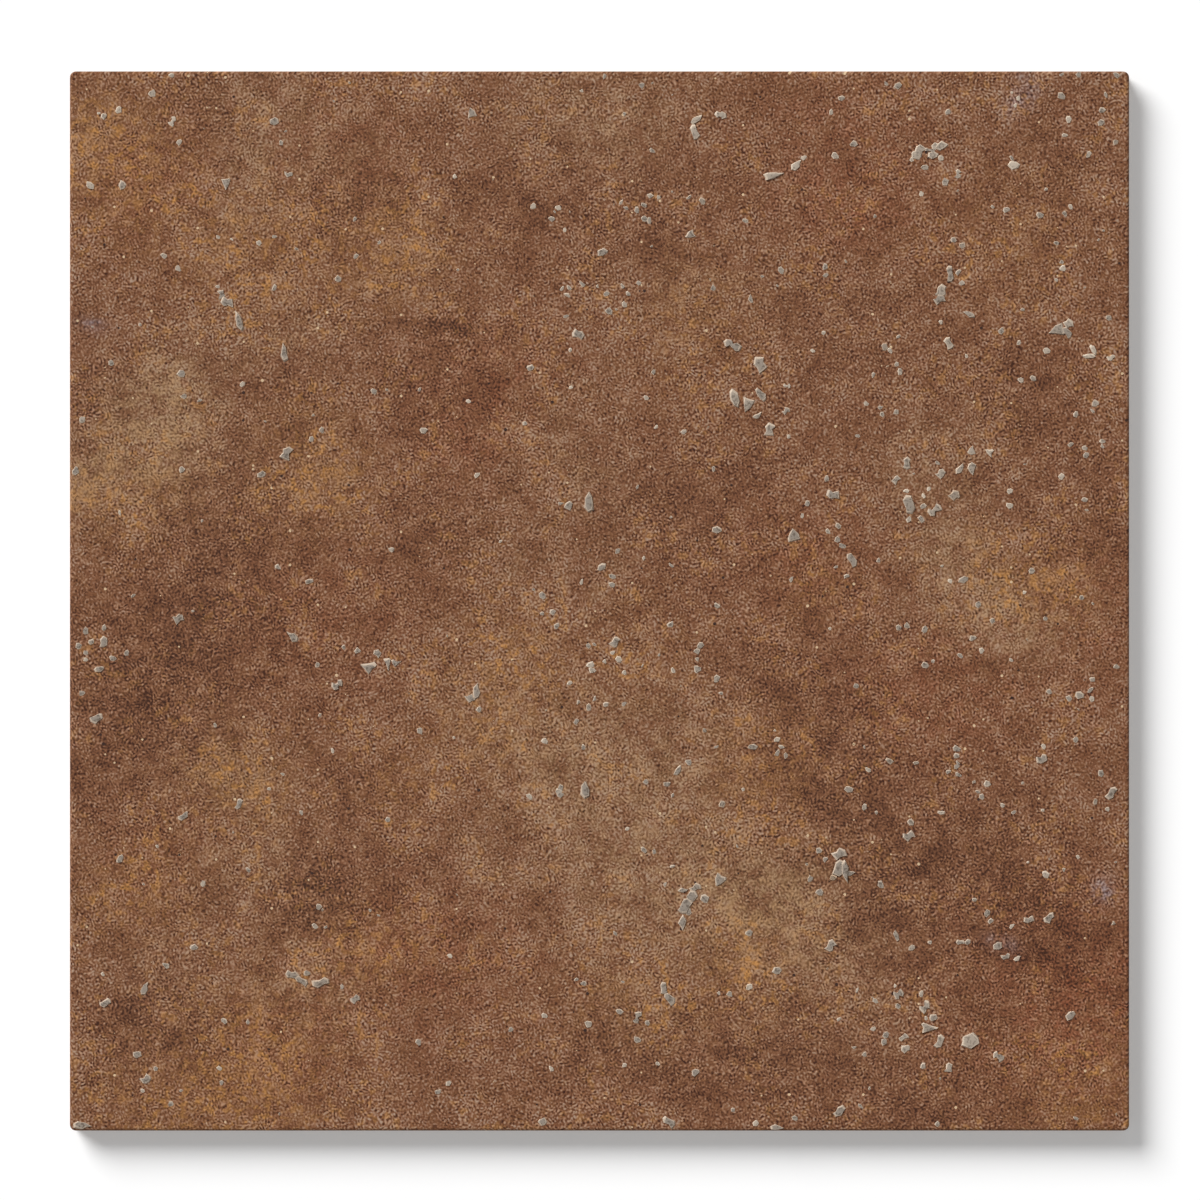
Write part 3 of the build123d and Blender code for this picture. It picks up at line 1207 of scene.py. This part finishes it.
# middles of the smaller stones in millimetres, read in the same way
GRAVEL: tuple[tuple[float, float], ...] = (
    (-89.5, 129), (-69, 107.5), (-68.5, 97), (-73.5, 90.5), (-91.5, 102.5), (-118.5, 93.5), (-91.5, 88),
    (-117, 57.5), (-112.5, 56.5), (-100.5, 61), (-63.5, 59), (-50.5, 59.5), (-81, 45.5), (-78, 48),
    (-145.5, 51), (-137.5, 67), (-49.5, 48), (1.5, 147.5), (-5, 143.5), (12, 145), (7, 137), (15, 126.5),
    (-18.5, 111), (-11.5, 110.5), (-13.5, 107.5), (6, 112), (7.5, 110.5), (10.5, 110), (12.5, 111.5),
    (14, 114), (16.5, 113.5), (12.5, 107.5), (14, 107), (25, 113.5), (29, 112.5), (41, 107), (-10.5, 88),
    (-8.5, 88), (-9, 86), (-5, 89), (-0.5, 88.5), (2, 86.5), (6.5, 88.5), (8, 86.5), (11, 89.5),
    (7, 83.5), (-9.5, 80), (32, 88), (42.5, 85), (51, 93), (63.5, 94), (63.5, 91.5), (13, 57), (15, 64.5),
    (-21, 50), (23.5, 47.5), (68, 141.5), (65, 137.5), (80.5, 145.5), (142.5, 142.5), (141.5, 138),
    (132, 135.5), (131, 131), (145, 129), (137.5, 125.5), (130, 148), (134.5, 148), (145.5, 148),
    (132.5, 111), (131, 109), (99.5, 101.5), (102, 100), (101, 92.5), (102, 89.5), (96, 78.5),
    (128.5, 100.5), (130, 95.5), (130.5, 93.5), (80, 71.5), (81.5, 70.5), (77, 63.5), (83.5, 66.5),
    (84.5, 64.5), (84, 74.5), (75, 55.5), (79, 54.5), (79.5, 52.5), (83.5, 53), (72.5, 46.5), (122, 62.5),
    (118.5, 62), (139.5, 55.5), (138.5, 53.5), (134, 52.5), (119, 82), (113, 76), (118, 72.5),
    (-117.5, 37), (-58.5, 14.5), (-90.5, 9.5), (-131, 1.5), (-144.5, -8.5), (-139.5, -7.5), (-143, -11.5),
    (-146.5, -12.5), (-144.5, -14.5), (-144.5, -16.5), (-137, -16), (-133, -14.5), (-68, -14), (-72, -13),
    (-79.5, -18), (-78.5, -32), (-75, -42), (-50.5, -36.5), (-145.5, -26), (-34.5, 35.5), (32, 37),
    (3.5, 7), (3.5, 4.5), (-5, 5.5), (5, 14), (-18.5, 3), (-16, 1.5), (-13, -3), (-16, -3.5), (-12, -7),
    (-3, -12.5), (-1.5, -12), (3.5, -14.5), (5.5, -16.5), (1.5, -17), (-2.5, -18), (-2, -19.5), (7, -20),
    (-8.5, -23), (20, -6.5), (33, -1.5), (20, 10), (54, 6), (27.5, -14), (28.5, -12.5), (27.5, -16.5),
    (27.5, -19), (20.5, -19.5), (33, -22), (34, -26), (-6, -28.5), (-3, -30), (7, -29), (2, -29),
    (-6.5, -34), (-1.5, -27.5), (29.5, -36.5), (33, -41), (50, -43), (52.5, -43.5), (51, -41), (50, -39),
    (25, -45.5), (13, -51), (19, -51.5), (20.5, -54.5), (-11, -52.5), (-11, -54.5), (-19.5, -55),
    (-4.5, -41), (-15.5, -39.5), (87, 23), (90.5, 23), (58.5, 27.5), (64, 34.5), (57, 24), (67, 21),
    (64.5, 19.5), (67, 17.5), (68.5, 15.5), (66.5, 9.5), (69.5, 7), (78.5, 11.5), (106.5, -1),
    (110.5, -5.5), (91.5, -8), (86.5, -7), (84, -7.5), (107.5, -14), (101.5, -15.5), (94, -17),
    (91.5, -18), (72, -24), (130, 35), (132.5, 44), (136.5, 43), (137, 41), (141.5, 43.5), (141.5, 45),
    (136.5, 28.5), (137, 25.5), (121.5, 8.5), (135.5, 1), (125.5, -5), (145.5, -18.5), (138.5, -22),
    (138, -25), (126.5, -25.5), (132, -27.5), (138.5, -27.5), (134, -39), (125, -41), (141, -48.5),
    (100.5, -41.5), (100.5, -43.5), (101, -45.5), (100.5, -46.5), (98, -48), (101, -49), (89, -45.5),
    (81.5, -45), (74.5, -41), (75.5, -47.5), (105.5, -51), (109, -51.5), (106.5, -53.5), (107.5, -55),
    (-84, -59.5), (-59.5, -61.5), (-99, -75.5), (-111.5, -79.5), (-122, -102.5), (-80, -91.5), (-79, -86),
    (-72.5, -108.5), (-130, -127.5), (-125, -131.5), (-107, -131.5), (-106.5, -135.5), (-120.5, -141.5),
    (-105.5, -118), (-99, -118.5), (-45.5, -138), (-42.5, -135.5), (-51, -124), (-11.5, -53.5),
    (34.5, -57), (42, -93.5), (4.5, -93.5), (36.5, -110.5), (42, -108.5), (5.5, -115.5), (-3, -119),
    (16.5, -130), (7, -130.5), (-13.5, -131.5), (55, -145.5), (37.5, -143), (44, -147), (-25, -120.5),
    (-15.5, -116.5), (-4.5, -107.5), (-6.5, -106.5), (12.5, -70), (15.5, -70.5), (20.5, -74.5),
    (74.5, -58), (78, -59.5), (87.5, -62), (96, -59.5), (79, -80), (93, -96), (88, -97.5), (103.5, -96),
    (110, -90), (105.5, -84), (116, -91.5), (109, -88), (139.5, -56.5), (143, -58.5), (130.5, -75.5),
    (125.5, -77), (120.5, -73.5), (134.5, -72), (116.5, -59.5), (113.5, -57.5), (144.5, -90.5),
    (72.5, -109.5), (77.5, -112.5), (90.5, -110.5), (84, -114), (80.5, -122), (77, -120.5),
    (67.5, -117.5), (71.5, -125.5), (74.5, -127.5), (80, -124), (73.5, -142), (95, -147), (134, -145.5),
    (76, -137),
)


@dataclass(frozen=True)
class Quartz:
    """Broken quartz gravel fired into the glaze.

    The eye gets pale grey, slightly warm stones with a lighter rim, a duller heart and a
    thin dark band of painted shade round each one's foot, where it meets the face.
    """

    name: str = "quartz"
    # painted shade: the dark band at each stone's foot stands in for the shadow where it meets the face
    painted_foot_shade: str = "44291b"
    rim: str = "c2af9b"
    heart: str = "92867a"
    grain: str = "6a5e53"
    warm: str = "ac8a66"
    bright: str = "dcccb7"
    grain_size: float = 0.7
    roughness: float = 0.6
    ior: float = 1.54
    specular: float = 0.2

    def material(self) -> Material:
        """Builds the shader from each point's ring on its stone and each stone's own tone.

        Returns:
            The finished material.
        """
        material, graph = new_material(self.name)
        add = graph.add
        place = add("ShaderNodeTexCoord", output="Object")
        ring = add("ShaderNodeAttribute", attribute_name="ring", output="Fac")
        tone = add("ShaderNodeAttribute", attribute_name="tone", output="Fac")
        grit = add(
            "ShaderNodeTexNoise",
            {"Vector": place, "Scale": per_metre(self.grain_size), "Detail": 1.0},
        )
        speckle = add("ShaderNodeMapRange", {"Value": grit, "From Min": 0.5, "From Max": 0.36})
        outer = add("ShaderNodeMapRange", {"Value": ring, "From Min": 0.18, "From Max": 0.32})
        inner = add("ShaderNodeMapRange", {"Value": ring, "From Min": 0.72, "From Max": 0.95})
        tanned = add(
            "ShaderNodeMapRange",
            {"Value": tone, "From Min": 0.4, "From Max": 0.1, "To Max": 0.5},
        )
        bleached = add("ShaderNodeMapRange", {"Value": tone, "From Min": 0.6, "To Max": 0.75})
        dull = add(
            "ShaderNodeMapRange",
            {"Value": tone, "From Min": 0.6, "To Min": 1.0, "To Max": 0.3},
        )
        heart = add("ShaderNodeMath", {0: inner, 1: dull}, operation="MULTIPLY")
        grains = add("ShaderNodeMath", {0: heart, 1: speckle}, operation="MULTIPLY")
        layers = (
            (outer, self.rim, "MIX"),
            (bleached, self.bright, "LIGHTEN"),
            (heart, self.heart, "MIX"),
            (grains, self.grain, "MIX"),
            (tanned, self.warm, "COLOR"),
        )
        # each stone starts from the painted shade at its foot, and the rim, heart and grains go over it
        colour: object = linear(self.painted_foot_shade)
        for share, shade, blend in layers:
            colour = add(
                "ShaderNodeMix",
                {Colour.FACTOR: share, Colour.FIRST: colour, Colour.SECOND: linear(shade)},
                output=Colour.RESULT,
                data_type="RGBA",
                blend_type=blend,
            )
        shader = add(
            "ShaderNodeBsdfPrincipled",
            {
                "Base Color": colour,
                "Roughness": self.roughness,
                "IOR": self.ior,
                "Specular IOR Level": self.specular,
            },
        )
        add("ShaderNodeOutputMaterial", {"Surface": shader})
        return material


@dataclass
class MineralChips:
    """The quartz chips that stand a little proud of the face and end at the tile's sides.

    Sizes are in millimetres, but a chip stands proud by a share of its length, and the
    finest grit has its density in grains a square metre.
    """

    bed: Piece
    half_side: float
    finish: Quartz
    edge_gap: float = 0.25
    proud: float = 0.085
    unevenness: float = 1.7
    break_size: float = 1.6
    gravel_length: float = 1.65
    gravel_spread: tuple[float, float] = (0.75, 1.25)
    gravel_slimness: tuple[float, float] = (0.65, 0.95)
    gravel_tone: tuple[float, float] = (0.3, 0.9)
    grit_density: float = 1500.0
    grit_length: float = 0.8
    drop_height: float = 20.0
    sharp_angle: float = 30.0
    seed: int = 11

    def build(self) -> Piece:
        """Makes the chips of every form and joins them.

        Returns:
            All chips as one object at the origin.
        """
        graph = self._tree()
        material = self.finish.material()
        joined = bmesh.new()
        for form in Form:
            stone = new_object(f"chip_{form.name.lower()}", self._stone(form))
            piece = new_object(f"chips_{form.name.lower()}", self._points(form))
            values: dict[str, object] = {
                "Stone": stone,
                "Bed": self.bed,
                "Proud": self.proud,
                "Unevenness": self.unevenness * MM,
                "Reach": (self.half_side - self.edge_gap) * MM,
                "Grit Density": self.grit_density if form is Form.PEBBLE else 0.0,
                "Grit Length": self.grit_length * MM,
                "Seed": self.seed,
                "Finish": material,
            }
            GeometryTree.bake(piece, graph, values)
            joined.from_mesh(piece.data)
            bpy.data.objects.remove(piece)
            bpy.data.objects.remove(stone)
        mesh = bpy.data.meshes.new("mineral_chips")
        joined.to_mesh(mesh)
        joined.free()
        mesh.materials.append(material)
        mesh.shade_smooth()
        mesh.set_sharp_from_angle(angle=math.radians(self.sharp_angle))
        log.info("mineral_chips: %d faces", len(mesh.polygons))
        return new_object("mineral_chips", mesh)

    def dress(self, piece: Piece) -> None:
        """Gives the chips their place in the frame."""
        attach(piece, BODY)

    def _stone(self, form: Form) -> Mesh:
        """Makes one stone of unit length, width and height, with a skirt that runs under the face.

        Args:
            form: The stone's plan.

        Returns:
            The closed stone, with each point's ring from 0 at its foot to 1 at its top.
        """
        # each ring's spread, height and place between foot and top
        # the lowest ring, under the face, takes the painted shade of the stone's foot
        rings = ((1.14, -0.6, 0.0), (1.0, 0.3, 0.35), (0.88, 0.9, 0.7), (0.66, 1.0, 1.0))
        corners = form.value
        count = len(corners)
        points = [(x * grown, y * grown, height) for grown, height, _ in rings for x, y in corners]
        faces = [
            [low + k, low + (k + 1) % count, low + count + (k + 1) % count, low + count + k]
            for low in range(0, count * (len(rings) - 1), count)
            for k in range(count)
        ]
        faces.append([count * (len(rings) - 1) + k for k in range(count)])
        faces.append(list(reversed(range(count))))
        mesh = bpy.data.meshes.new("stone")
        mesh.from_pydata(points, [], faces)
        places = [ring for _, _, ring in rings for _ in corners]
        mesh.attributes.new("ring", "FLOAT", "POINT").data.foreach_set("value", places)
        return mesh

    def _points(self, form: Form) -> Mesh:
        """Makes the points of one form's chips.

        Args:
            form: The chips' plan.

        Returns:
            A mesh of points, each with its chip's length, slimness, turn and tone.
        """
        lots = random.Random(f"{self.seed} {form.name}")
        chips = list(CHIPS[form])
        if form is Form.PEBBLE:
            for x, y in GRAVEL:
                length = self.gravel_length * lots.uniform(*self.gravel_spread)
                slimness = lots.uniform(*self.gravel_slimness)
                turn = lots.uniform(0, 360)
                tone = lots.uniform(*self.gravel_tone)
                chips.append(Chip(x, y, length, slimness, turn, tone))
        mesh = bpy.data.meshes.new("chip_points")
        mesh.from_pydata([(chip.x * MM, chip.y * MM, 0.0) for chip in chips], [], [])
        values = {
            "length": [chip.length * MM for chip in chips],
            "slimness": [chip.slimness for chip in chips],
            "turn": [math.radians(chip.turn) for chip in chips],
            "tone": [chip.tone for chip in chips],
        }
        for title, numbers in values.items():
            mesh.attributes.new(title, "FLOAT", "POINT").data.foreach_set("value", numbers)
        return mesh

    def _tree(self) -> Graph:
        """Wires the tree that lays stones on the bed.

        Returns:
            The finished tree.
        """
        inputs = {
            "Stone": "NodeSocketObject",
            "Bed": "NodeSocketObject",
            "Proud": "NodeSocketFloat",
            "Unevenness": "NodeSocketFloat",
            "Reach": "NodeSocketFloat",
            "Grit Density": "NodeSocketFloat",
            "Grit Length": "NodeSocketFloat",
            "Seed": "NodeSocketInt",
            "Finish": "NodeSocketMaterial",
        }
        graph, given = GeometryTree("chip_bed", inputs).start()
        add = graph.add
        bed = add("GeometryNodeObjectInfo", {"Object": given["Bed"]}, output="Geometry")
        stones = self._laid(graph, given, bed, self._grit(graph, given, bed))
        real = add("GeometryNodeRealizeInstances", {"Geometry": stones})
        broken = self._broken(graph, given, real)
        dressed = add("GeometryNodeSetMaterial", {"Geometry": broken, "Material": given["Finish"]})
        add("NodeGroupOutput", {"Geometry": dressed})
        return graph

    def _grit(self, graph: Graph, given: dict[str, Socket], bed: Socket) -> Socket:
        """Wires the points of the finest grit, scattered over the flat of the bed.

        Args:
            graph: The tree's nodes.
            given: The tree's named inputs.
            bed: The tile's mesh.

        Returns:
            The points, each with its grain's length, slimness, turn and tone.
        """
        add = graph.add
        share = add("GeometryNodeInputNamedAttribute", {"Name": "face_share"}, data_type="FLOAT")
        flat = add("ShaderNodeMath", {0: share, 1: 0.5}, operation="GREATER_THAN")
        grit = add(
            "GeometryNodeDistributePointsOnFaces",
            {"Mesh": bed, "Selection": flat, "Density": given["Grit Density"], "Seed": given["Seed"]},
            output="Points",
        )
        lots = {"length": (0.6, 1.5), "slimness": (0.6, 1.0), "turn": (0.0, 6.28), "tone": (0.0, 1.0)}
        for title, (least, most) in lots.items():
            number = add(
                "FunctionNodeRandomValue",
                {"Min": least, "Max": most, "Seed": given["Seed"], "ID": add("GeometryNodeInputIndex")},
                output=1,
                data_type="FLOAT",
            )
            if title == "length":
                number = add("ShaderNodeMath", {0: number, 1: given["Grit Length"]}, operation="MULTIPLY")
            grit = add(
                "GeometryNodeStoreNamedAttribute",
                {"Geometry": grit, "Name": title, "Value": number},
                data_type="FLOAT",
                domain="POINT",
            )
        return grit

    def _laid(self, graph: Graph, given: dict[str, Socket], bed: Socket, grit: Socket) -> Socket:
        """Wires the stones on the bed.

        Args:
            graph: The tree's nodes.
            given: The tree's named inputs.
            bed: The tile's mesh.
            grit: The points of the finest grit.

        Returns:
            A stone on each of the tree's own points, dropped on the bed, and on each point of grit.
        """
        add = graph.add
        stone = add("GeometryNodeObjectInfo", {"Object": given["Stone"]}, output="Geometry")
        placed = add("GeometryNodeMeshToPoints", {"Mesh": given["Geometry"]})
        place = add("GeometryNodeInputPosition")
        drop = (0.0, 0.0, self.drop_height * MM)
        above = add("ShaderNodeVectorMath", {0: place, 1: drop}, operation="ADD")
        landed = add(
            "GeometryNodeRaycast",
            {"Target Geometry": bed, "Source Position": above, "Ray Direction": (0.0, 0.0, -1.0)},
            output="Hit Position",
        )
        placed = add("GeometryNodeSetPosition", {"Geometry": placed, "Position": landed})
        points = add("GeometryNodeJoinGeometry", {"Geometry": placed})
        graph.tree.links.new(grit, points.node.inputs["Geometry"])
        length, slimness, turn = (
            add("GeometryNodeInputNamedAttribute", {"Name": title}, data_type="FLOAT")
            for title in ("length", "slimness", "turn")
        )
        width = add("ShaderNodeMath", {0: length, 1: slimness}, operation="MULTIPLY")
        height = add("ShaderNodeMath", {0: length, 1: given["Proud"]}, operation="MULTIPLY")
        turned = add("ShaderNodeCombineXYZ", {"Z": turn})
        stones = add(
            "GeometryNodeInstanceOnPoints",
            {
                "Points": points,
                "Instance": stone,
                "Rotation": add("FunctionNodeEulerToRotation", {"Euler": turned}),
                "Scale": add("ShaderNodeCombineXYZ", {"X": length, "Y": width, "Z": height}),
            },
        )
        return stones

    def _broken(self, graph: Graph, given: dict[str, Socket], stones: Socket) -> Socket:
        """Wires the uneven outlines of the stones, held within the tile's sides.

        Args:
            graph: The tree's nodes.
            given: The tree's named inputs.
            stones: The stones as they were laid.

        Returns:
            The stones with broken outlines.
        """
        add = graph.add
        place = add("GeometryNodeInputPosition")
        rough = add(
            "ShaderNodeTexNoise",
            {"Vector": place, "Scale": per_metre(self.break_size), "Detail": 1.0},
            output="Color",
        )
        centred = add("ShaderNodeVectorMath", {0: rough, 1: (0.5, 0.5, 0.5)}, operation="SUBTRACT")
        shift = add("ShaderNodeCombineXYZ", {"X": given["Unevenness"], "Y": given["Unevenness"]})
        moved = add("ShaderNodeVectorMath", {0: centred, 1: shift, 2: place}, operation="MULTIPLY_ADD")
        most = add("ShaderNodeCombineXYZ", {"X": given["Reach"], "Y": given["Reach"], "Z": 1.0})
        least = add("ShaderNodeVectorMath", {0: most, 1: (-1.0, -1.0, -1.0)}, operation="MULTIPLY")
        held = add("ShaderNodeVectorMath", {0: moved, 1: least}, operation="MAXIMUM")
        held = add("ShaderNodeVectorMath", {0: held, 1: most}, operation="MINIMUM")
        return add("GeometryNodeSetPosition", {"Geometry": stones, "Position": held})


@dataclass
class Studio:
    """A plain white floor, soft light from the upper left and a camera that looks straight down.

    The floor is clear from below, where a second light shows the tile's back. Lengths are
    in millimetres, angles in degrees and light in shares of full light.
    """

    side: float
    thickness: float
    frame_pixels: float = 1200.0
    tile_pixels: float = 1059.5
    tile_left: float = 0.5
    tile_low: float = 1.0
    camera_height: float = 2500.0
    sensor: float = 36.0
    key_share: float = 0.72
    key_elevation: float = 36.5
    key_azimuth: float = 132.0
    key_spread: float = 33.0
    under_share: float = 0.6
    under_elevation: float = -60.0
    fill: float = 0.224
    floor_reach: float = 3000.0
    floor_gap: float = 0.05
    floor_shade: float = 0.82
    floor_glow: float = 0.24
    clear_run: float = 1.5
    view_end: float = 20000.0

    def build(self) -> None:
        """Makes the floor, the light and the camera."""
        self._floor()
        self._light()
        self._camera()

    def _floor(self) -> None:
        """Lays the floor, which is clear from below and to rays that start just above it."""
        reach, under = self.floor_reach * MM, -self.floor_gap * MM
        mesh = bpy.data.meshes.new("floor")
        corners = [(x * reach, y * reach, under) for x, y in ((-1, -1), (1, -1), (1, 1), (-1, 1))]
        mesh.from_pydata(corners, [], [(0, 1, 2, 3)])
        floor = new_object("floor", mesh)
        material, graph = new_material("white_floor")
        seen = graph.add("ShaderNodeLightPath", output="Is Camera Ray")
        glow = graph.add("ShaderNodeMath", {0: seen, 1: self.floor_glow}, operation="MULTIPLY")
        white = (self.floor_shade, self.floor_shade, self.floor_shade, 1.0)
        paint = graph.add("ShaderNodeBsdfDiffuse", {"Color": white})
        light = graph.add("ShaderNodeEmission", {"Strength": glow})
        both = graph.add("ShaderNodeAddShader", {0: paint, 1: light})
        below = graph.add("ShaderNodeNewGeometry", output="Backfacing")
        run = graph.add("ShaderNodeLightPath", output="Ray Length")
        near = graph.add("ShaderNodeMath", {0: run, 1: self.clear_run * MM}, operation="LESS_THAN")
        passed = graph.add("ShaderNodeMath", {0: below, 1: near}, operation="MAXIMUM")
        clear = graph.add("ShaderNodeBsdfTransparent")
        surface = graph.add("ShaderNodeMixShader", {0: passed, 1: both, 2: clear})
        graph.add("ShaderNodeOutputMaterial", {"Surface": surface})
        mesh.materials.append(material)

    def _light(self) -> None:
        """Hangs the soft lights above and below, and sets the even light of the room."""
        self._hang("key", self.key_share, self.key_elevation)
        self._hang("under", self.under_share, self.under_elevation)
        world = bpy.data.worlds.new("room")
        world.use_nodes = True
        world.node_tree.nodes.clear()
        graph = Graph(world.node_tree)
        path = graph.add("ShaderNodeLightPath", output="Is Camera Ray").node
        plain = path.outputs["Is Camera Ray"]
        for ray in ("Is Glossy Ray", "Is Transmission Ray"):
            plain = graph.add("ShaderNodeMath", {0: plain, 1: path.outputs[ray]}, operation="MAXIMUM")
        strength = graph.add("ShaderNodeMapRange", {"Value": plain, "To Min": self.fill, "To Max": 1.0})
        sky = graph.add("ShaderNodeBackground", {"Color": (1.0, 1.0, 1.0, 1.0), "Strength": strength})
        graph.add("ShaderNodeOutputWorld", {"Surface": sky})
        bpy.context.scene.world = world

    def _hang(self, name: str, share: float, elevation: float) -> None:
        """Hangs a soft, far light.

        Args:
            name: The light's name.
            share: What it gives to a level surface, as a share of full light.
            elevation: Its height over the horizon in degrees, less than zero for one below.
        """
        lamp = bpy.data.lights.new(name, "SUN")
        lamp.angle = math.radians(self.key_spread)
        across, up = math.radians(self.key_azimuth), math.radians(elevation)
        lamp.energy = share * math.pi / abs(math.sin(up))
        hung = bpy.data.objects.new(name, lamp)
        level = math.cos(up)
        towards = Vector((math.cos(across) * level, math.sin(across) * level, math.sin(up)))
        hung.rotation_euler = towards.to_track_quat("Z", "Y").to_euler()
        bpy.context.scene.collection.objects.link(hung)

    def _camera(self) -> None:
        """Hangs the camera over the tile, framed as in the photograph."""
        pixel = self.side / self.tile_pixels
        data = bpy.data.cameras.new("camera")
        data.sensor_width = self.sensor
        data.lens = self.sensor * self.camera_height / (pixel * self.frame_pixels)
        data.clip_end = self.view_end * MM
        camera = bpy.data.objects.new("camera", data)
        height = self.thickness + self.camera_height
        camera.location = Vector((self.tile_left * pixel, self.tile_low * pixel, height)) * MM
        bpy.context.scene.collection.objects.link(camera)
        bpy.context.scene.camera = camera


def main() -> None:
    """Builds the tile and its studio at the sizes of the imported solid."""
    logging.basicConfig(level=logging.INFO, format="%(name)s %(message)s")
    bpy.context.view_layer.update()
    low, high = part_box(NODE)
    side, thickness = (high.x - low.x) / MM, (high.z - low.z) / MM
    body = TileBody(side, thickness, FiredPorcelain())
    tile = body.build()
    body.dress(tile)
    chips = MineralChips(tile, side / 2, Quartz())
    chips.dress(chips.build())
    Studio(side, thickness).build()
    bpy.context.scene.view_settings.view_transform = "Standard"


if __name__ == "__main__":
    main()
